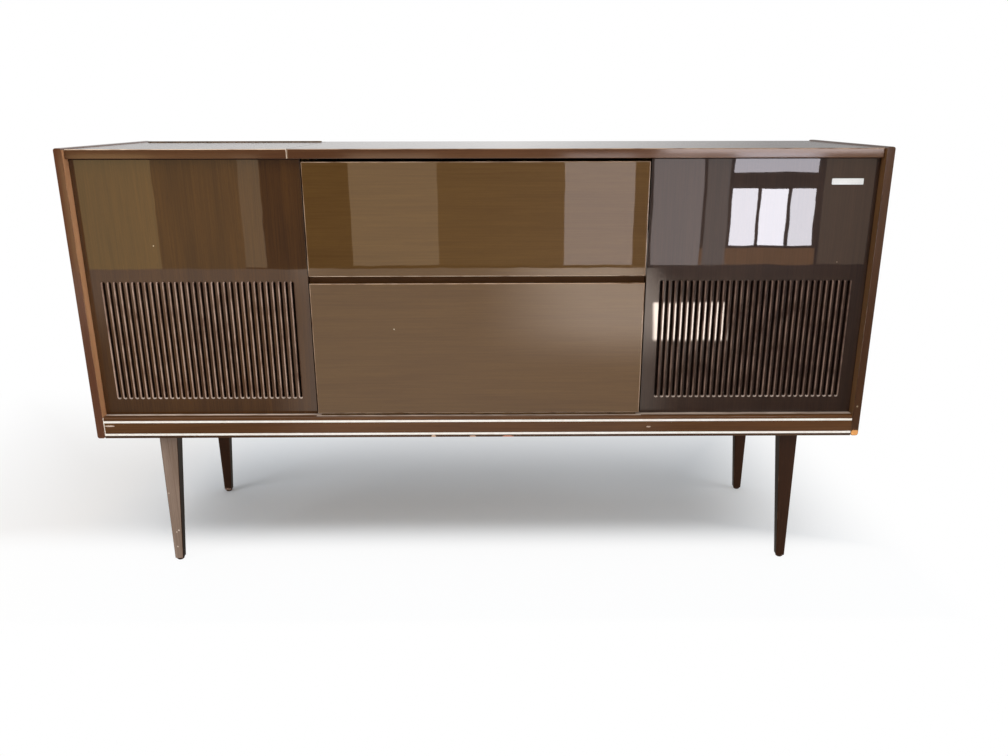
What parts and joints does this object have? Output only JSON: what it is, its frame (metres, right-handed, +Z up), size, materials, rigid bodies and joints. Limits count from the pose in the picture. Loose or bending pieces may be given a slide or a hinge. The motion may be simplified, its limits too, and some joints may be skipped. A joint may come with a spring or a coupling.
{
  "type": "radiogram cabinet",
  "caption": "Long lacquered radiogram cabinet on four tapered legs, with a lid over a record player, a radio flap, a record flap and slotted loudspeaker grilles.",
  "frame": {"origin": "on the floor under the middle of the case", "axes": "+X along the case to the right, -Y towards the front, +Z up"},
  "size_m": [1.4, 0.375, 0.78],
  "materials": {
    "lacquered_veneer": "high-gloss polyester lacquer over brown-stained veneer",
    "end_panel_veneer": "high-gloss lacquer over reddish brown veneer, worn along its edges",
    "leg_wood": "glossy lacquered hardwood",
    "inner_board": "raw particle board and plywood",
    "hardboard": "raw hardboard",
    "pale_inlay": "cream inlaid strip",
    "grille_cloth": "dark woven loudspeaker cloth",
    "hinge_brass": "brassed strip hinge",
    "zinc_steel": "zinc-plated steel",
    "glide_rubber": "dark foot glide",
    "platter_metal": "pressed platter under a ribbed rubber mat",
    "deck_enamel": "cream enamelled steel",
    "tonearm_enamel": "cream enamelled tube and plastic headshell",
    "bright_chrome": "bright chrome",
    "ivory_plastic": "moulded ivory plastic",
    "dark_plastic": "black moulded and painted parts",
    "dial_glass": "printed dial glass",
    "pointer_red": "red pointer"
  },
  "bodies": {
    "cabinet": {"side_panel_left": "end_panel_veneer", "side_panel_right": "end_panel_veneer", "bottom_panel": "inner_board", "top_panel": "lacquered_veneer", "lid_rear_rail": "lacquered_veneer", "divider_left": "inner_board", "divider_right": "inner_board", "centre_shelf": "inner_board", "front_panel_left": "lacquered_veneer", "front_panel_right": "lacquered_veneer", "base_rail": "lacquered_veneer", "inlay_strip_upper": "pale_inlay", "inlay_strip_lower": "pale_inlay", "back_panel": "hardboard", "leg_front_left": "leg_wood", "leg_front_right": "leg_wood", "leg_rear_left": "leg_wood", "leg_rear_right": "leg_wood", "glide_front_left": "glide_rubber", "glide_front_right": "glide_rubber", "glide_rear_left": "glide_rubber", "glide_rear_right": "glide_rubber", "mains_inlet": "dark_plastic", "grille_cloth_left": "grille_cloth", "grille_cloth_right": "grille_cloth", "loudspeaker_left": "dark_plastic", "loudspeaker_right": "dark_plastic", "lid_hinge_fixed_leaf": "hinge_brass", "record_hinge_fixed_leaf": "hinge_brass", "lid_stay_peg": "zinc_steel", "radio_stay_peg": "zinc_steel", "motor_board": "inner_board", "deck_plate": "deck_enamel", "drive_motor": "zinc_steel", "radio_chassis": "zinc_steel", "radio_fascia": "ivory_plastic", "dial_glass": "dial_glass"},
    "lid": {"turntable_lid": "lacquered_veneer", "lid_hinge_moving_leaf": "hinge_brass", "lid_stay_bracket": "zinc_steel"},
    "lid_stay": {"lid_stay": "zinc_steel"},
    "radio_flap": {"radio_flap": "lacquered_veneer", "radio_flap_pivot_left": "zinc_steel", "radio_flap_pivot_right": "zinc_steel"},
    "radio_flap_stay": {"radio_flap_stay": "zinc_steel"},
    "record_flap": {"record_flap": "lacquered_veneer", "record_hinge_moving_leaf": "hinge_brass"},
    "platter": {"platter": "platter_metal"},
    "tonearm_yoke": {"tonearm_yoke": "bright_chrome"},
    "tonearm": {"tonearm": "tonearm_enamel"},
    "speed_knob": {"speed_knob": "ivory_plastic"},
    "start_lever": {"start_lever": "ivory_plastic"},
    "tuning_knob": {"tuning_knob": "ivory_plastic"},
    "dial_pointer": {"dial_pointer": "pointer_red"},
    "volume_knob": {"volume_knob": "ivory_plastic"},
    "tone_knob": {"tone_knob": "ivory_plastic"},
    "push_key_1": {"push_key_1": "ivory_plastic"},
    "push_key_2": {"push_key_2": "ivory_plastic"},
    "push_key_3": {"push_key_3": "ivory_plastic"},
    "push_key_4": {"push_key_4": "ivory_plastic"}
  },
  "joints": [
    {"name": "lid_hinge", "type": "hinge", "parent": "cabinet", "child": "lid", "pos_m": [-0.5, 0.1583, 0.778], "axis": [-1, 0, 0], "range_deg": [0, 75]},
    {"name": "lid_stay_pivot", "type": "hinge", "parent": "lid", "child": "lid_stay", "pos_m": [-0.6825, 0.0893, 0.755], "axis": [-1, 0, 0], "range_deg": [-38, 0]},
    {"name": "radio_flap_hinge", "type": "hinge", "parent": "cabinet", "child": "radio_flap", "pos_m": [0, -0.1665, 0.566], "axis": [1, 0, 0], "range_deg": [0, 90]},
    {"name": "radio_stay_pivot", "type": "hinge", "parent": "radio_flap", "child": "radio_flap_stay", "pos_m": [0.2935, -0.1585, 0.636], "axis": [1, 0, 0], "range_deg": [-45.5, 0]},
    {"name": "record_flap_hinge", "type": "hinge", "parent": "cabinet", "child": "record_flap", "pos_m": [0, -0.1771, 0.30675], "axis": [1, 0, 0], "range_deg": [0, 90]},
    {"name": "platter_spin", "type": "hinge", "parent": "cabinet", "child": "platter", "pos_m": [-0.51675, 0.0025, 0.683], "axis": [0, 0, 1], "continuous": true},
    {"name": "tonearm_swing", "type": "hinge", "parent": "cabinet", "child": "tonearm_yoke", "pos_m": [-0.35675, 0.1125, 0.695], "axis": [0, 0, -1], "range_deg": [0, 39]},
    {"name": "tonearm_lift", "type": "hinge", "parent": "tonearm_yoke", "child": "tonearm", "pos_m": [-0.35675, 0.1125, 0.695], "axis": [-1, 0, 0], "range_deg": [0, 10]},
    {"name": "speed_knob_turn", "type": "hinge", "parent": "cabinet", "child": "speed_knob", "pos_m": [-0.64175, 0.1275, 0.6593], "axis": [0, 0, 1], "range_deg": [-35, 70]},
    {"name": "start_lever_turn", "type": "hinge", "parent": "cabinet", "child": "start_lever", "pos_m": [-0.34375, -0.1255, 0.6593], "axis": [0, 0, 1], "range_deg": [0, 28]},
    {"name": "tuning_knob_turn", "type": "hinge", "parent": "cabinet", "child": "tuning_knob", "pos_m": [0.22, -0.1075, 0.6101], "axis": [0, 1, 0], "range_deg": [-900, 900]},
    {"name": "dial_pointer_slide", "type": "slide", "parent": "cabinet", "child": "dial_pointer", "axis": [1, 0, 0], "range_m": [-0.18, 0.18]},
    {"name": "volume_knob_turn", "type": "hinge", "parent": "cabinet", "child": "volume_knob", "pos_m": [-0.225, -0.1075, 0.6101], "axis": [0, 1, 0], "range_deg": [-150, 150]},
    {"name": "tone_knob_turn", "type": "hinge", "parent": "cabinet", "child": "tone_knob", "pos_m": [-0.15, -0.1075, 0.6101], "axis": [0, 1, 0], "range_deg": [-150, 150]},
    {"name": "push_key_1_press", "type": "slide", "parent": "cabinet", "child": "push_key_1", "axis": [0, 1, 0], "range_m": [0, 0.004], "stiffness_N_per_m": 300},
    {"name": "push_key_2_press", "type": "slide", "parent": "cabinet", "child": "push_key_2", "axis": [0, 1, 0], "range_m": [0, 0.004], "stiffness_N_per_m": 300},
    {"name": "push_key_3_press", "type": "slide", "parent": "cabinet", "child": "push_key_3", "axis": [0, 1, 0], "range_m": [0, 0.004], "stiffness_N_per_m": 300},
    {"name": "push_key_4_press", "type": "slide", "parent": "cabinet", "child": "push_key_4", "axis": [0, 1, 0], "range_m": [0, 0.004], "stiffness_N_per_m": 300}
  ],
  "couplings": [
    {"joint": "lid_stay_pivot", "follows": "lid_hinge", "ratio": -0.5},
    {"joint": "radio_stay_pivot", "follows": "radio_flap_hinge", "ratio": -0.5},
    {"joint": "dial_pointer_slide", "follows": "tuning_knob_turn", "m_per_rad": 0.0114}
  ]
}
